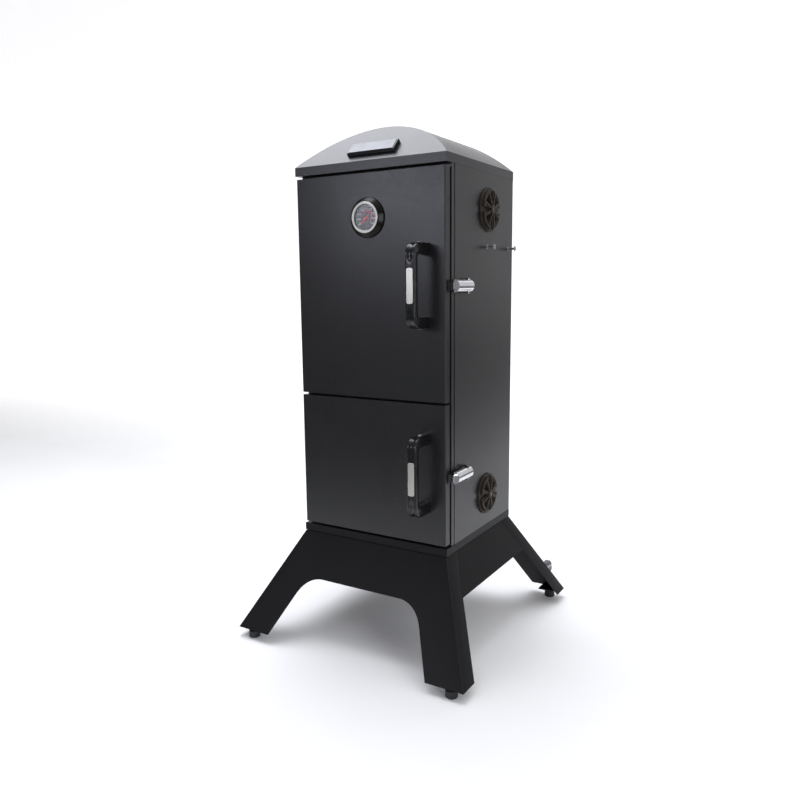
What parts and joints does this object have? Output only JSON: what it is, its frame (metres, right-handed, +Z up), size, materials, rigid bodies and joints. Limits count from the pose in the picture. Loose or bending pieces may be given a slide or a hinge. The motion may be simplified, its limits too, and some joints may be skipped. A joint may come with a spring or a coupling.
{
  "type": "cabinet smoker",
  "caption": "Upright charcoal cabinet smoker with an arched roof, an upper cooking door and a lower fire door, side dampers, racks and pans inside, on splayed sheet-metal legs.",
  "frame": {"origin": "centre of the bounding box on the floor plane, under the middle of the feet", "axes": "+Z up, doors face -Y, +X to the right of a person facing the doors, where the dampers and catches are"},
  "size_m": [0.6422, 0.6666, 1.257],
  "materials": {
    "powder_coat": "satin black textured powder coat",
    "zinc_steel": "dull galvanised sheet",
    "door_cord": "woven glass-fibre cord",
    "black_resin": "gloss black moulded resin",
    "satin_steel": "satin stainless",
    "chrome_wire": "polished plate",
    "dial_face": "printed dial",
    "dial_glass": "clear",
    "needle_red": "red enamel",
    "black_steel": "satin black",
    "damper_iron": "seasoned matt cast iron",
    "plated_screw": "darkened plated steel",
    "enamel": "speckled black enamel",
    "raw_steel": "heat-darkened sheet",
    "foot_plastic": "matt black",
    "wheel_rubber": "grey"
  },
  "bodies": {
    "cabinet": {"cabinet_shell": "powder_coat", "front_frame": "powder_coat", "base_pan": "powder_coat", "roof_cover": "powder_coat", "roof_front_cap": "powder_coat", "roof_rear_cap": "powder_coat", "nameplate_base": "black_resin", "nameplate": "satin_steel", "front_leg_panel": "powder_coat", "rear_leg_panel": "powder_coat", "left_skirt": "powder_coat", "right_skirt": "powder_coat", "foot_tabs": "powder_coat", "wheel_brackets": "zinc_steel", "wheel_axles": "zinc_steel", "hinge_fixed_leaves": "zinc_steel", "hinge_pins": "zinc_steel", "damper_bases": "damper_iron", "damper_screws": "plated_screw", "tool_pegs": "zinc_steel", "catch_bases": "black_steel", "catch_pins": "chrome_wire", "rack_rails": "zinc_steel", "cooking_grates": "chrome_wire", "water_pan": "enamel", "charcoal_basket": "raw_steel", "ash_pan": "enamel"},
    "upper_door_body": {"upper_door": "powder_coat", "upper_door_liner": "zinc_steel", "upper_door_gasket": "door_cord", "upper_door_hinge_leaves": "zinc_steel", "upper_handle_grip": "black_resin", "upper_handle_inlay": "satin_steel", "upper_handle_fasteners": "satin_steel", "thermometer_housing": "black_resin", "thermometer_ring": "chrome_wire", "thermometer_dial": "dial_face", "thermometer_glass": "dial_glass", "thermometer_stem": "chrome_wire", "upper_catch_keeper": "black_steel"},
    "lower_door_body": {"lower_door": "powder_coat", "lower_door_liner": "zinc_steel", "lower_door_gasket": "door_cord", "lower_door_hinge_leaves": "zinc_steel", "lower_handle_grip": "black_resin", "lower_handle_inlay": "satin_steel", "lower_handle_fasteners": "satin_steel", "lower_catch_keeper": "black_steel"},
    "needle_body": {"thermometer_needle": "needle_red"},
    "upper_damper_body": {"upper_damper_disc": "damper_iron"},
    "lower_damper_body": {"lower_damper_disc": "damper_iron"},
    "upper_catch_body": {"upper_catch_lever": "chrome_wire"},
    "lower_catch_body": {"lower_catch_lever": "chrome_wire"},
    "wheel_left_body": {"wheel_left": "wheel_rubber"},
    "wheel_right_body": {"wheel_right": "wheel_rubber"},
    "foot_front_left_body": {"foot_front_left": "foot_plastic"},
    "foot_front_right_body": {"foot_front_right": "foot_plastic"},
    "foot_rear_left_body": {"foot_rear_left": "foot_plastic"},
    "foot_rear_right_body": {"foot_rear_right": "foot_plastic"}
  },
  "joints": [
    {"name": "upper_door_hinge", "type": "hinge", "parent": "cabinet", "child": "upper_door_body", "pos_m": [-0.2105, -0.16759, 0.886], "axis": [0, 0, -1], "range_deg": [0, 110]},
    {"name": "lower_door_hinge", "type": "hinge", "parent": "cabinet", "child": "lower_door_body", "pos_m": [-0.2105, -0.16759, 0.452], "axis": [0, 0, -1], "range_deg": [0, 110]},
    {"name": "thermometer_needle_turn", "type": "hinge", "parent": "upper_door_body", "child": "needle_body", "pos_m": [0.002, -0.19929, 1.043], "axis": [0, 1, 0], "range_deg": [0, 260]},
    {"name": "upper_damper_turn", "type": "hinge", "parent": "cabinet", "child": "upper_damper_body", "pos_m": [0.215, 0.02481, 1.0654], "axis": [1, 0, 0], "range_deg": [0, 25.5]},
    {"name": "lower_damper_turn", "type": "hinge", "parent": "cabinet", "child": "lower_damper_body", "pos_m": [0.215, 0.02481, 0.363], "axis": [1, 0, 0], "range_deg": [0, 25.5]},
    {"name": "upper_catch_pivot", "type": "hinge", "parent": "cabinet", "child": "upper_catch_body", "pos_m": [0.217, -0.10469, 0.886], "axis": [0, 0, 1], "range_deg": [0, 16]},
    {"name": "lower_catch_pivot", "type": "hinge", "parent": "cabinet", "child": "lower_catch_body", "pos_m": [0.217, -0.10469, 0.447], "axis": [0, 0, 1], "range_deg": [0, 16]},
    {"name": "wheel_left_spin", "type": "hinge", "parent": "cabinet", "child": "wheel_left_body", "pos_m": [-0.27, 0.3123, 0.078], "axis": [1, 0, 0], "continuous": true},
    {"name": "wheel_right_spin", "type": "hinge", "parent": "cabinet", "child": "wheel_right_body", "pos_m": [0.27, 0.3123, 0.078], "axis": [1, 0, 0], "continuous": true},
    {"name": "foot_front_left_screw", "type": "slide", "parent": "cabinet", "child": "foot_front_left_body", "axis": [0, 0, -1], "range_m": [0, 0.006]},
    {"name": "foot_front_right_screw", "type": "slide", "parent": "cabinet", "child": "foot_front_right_body", "axis": [0, 0, -1], "range_m": [0, 0.006]},
    {"name": "foot_rear_left_screw", "type": "slide", "parent": "cabinet", "child": "foot_rear_left_body", "axis": [0, 0, -1], "range_m": [0, 0.006]},
    {"name": "foot_rear_right_screw", "type": "slide", "parent": "cabinet", "child": "foot_rear_right_body", "axis": [0, 0, -1], "range_m": [0, 0.006]}
  ]
}
